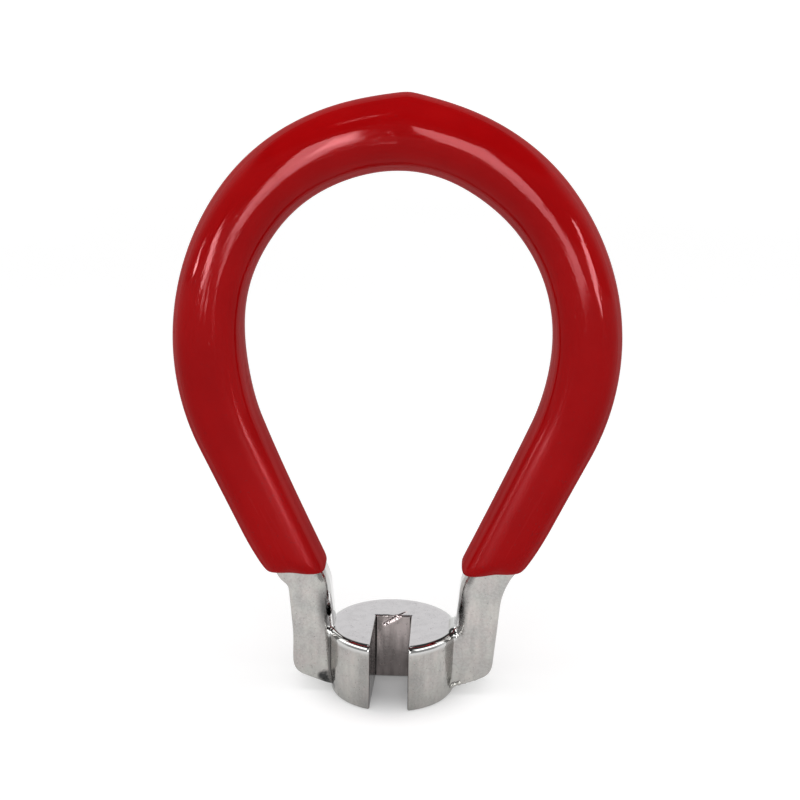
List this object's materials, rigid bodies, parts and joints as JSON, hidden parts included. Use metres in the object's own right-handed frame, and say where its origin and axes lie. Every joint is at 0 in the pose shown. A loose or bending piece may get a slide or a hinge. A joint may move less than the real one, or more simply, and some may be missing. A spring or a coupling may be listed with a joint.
{
  "type": "spoke wrench",
  "caption": "Spoke wrench with a round slotted head, two short legs and a closed teardrop loop under a dipped vinyl grip, for turning the nipples of bicycle spokes.",
  "frame": {"origin": "on the nipple's axis, level with the underside of the head", "axes": "+Z along the nipple's axis to the top of the loop, +X across the loop, and the slot opens towards -Y"},
  "size_m": [0.0422, 0.0126, 0.059],
  "materials": {
    "plated_steel": "satin nickel and chrome plate over a smooth cast steel body, with bright rounded edges and bare machined slot walls",
    "red_vinyl": "soft gloss dipped vinyl, saturated red, with a drip nub at the top and rounded lips at the dip line"
  },
  "bodies": {
    "root": {"steel_body": "plated_steel", "vinyl_grip": "red_vinyl"}
  },
  "joints": []
}
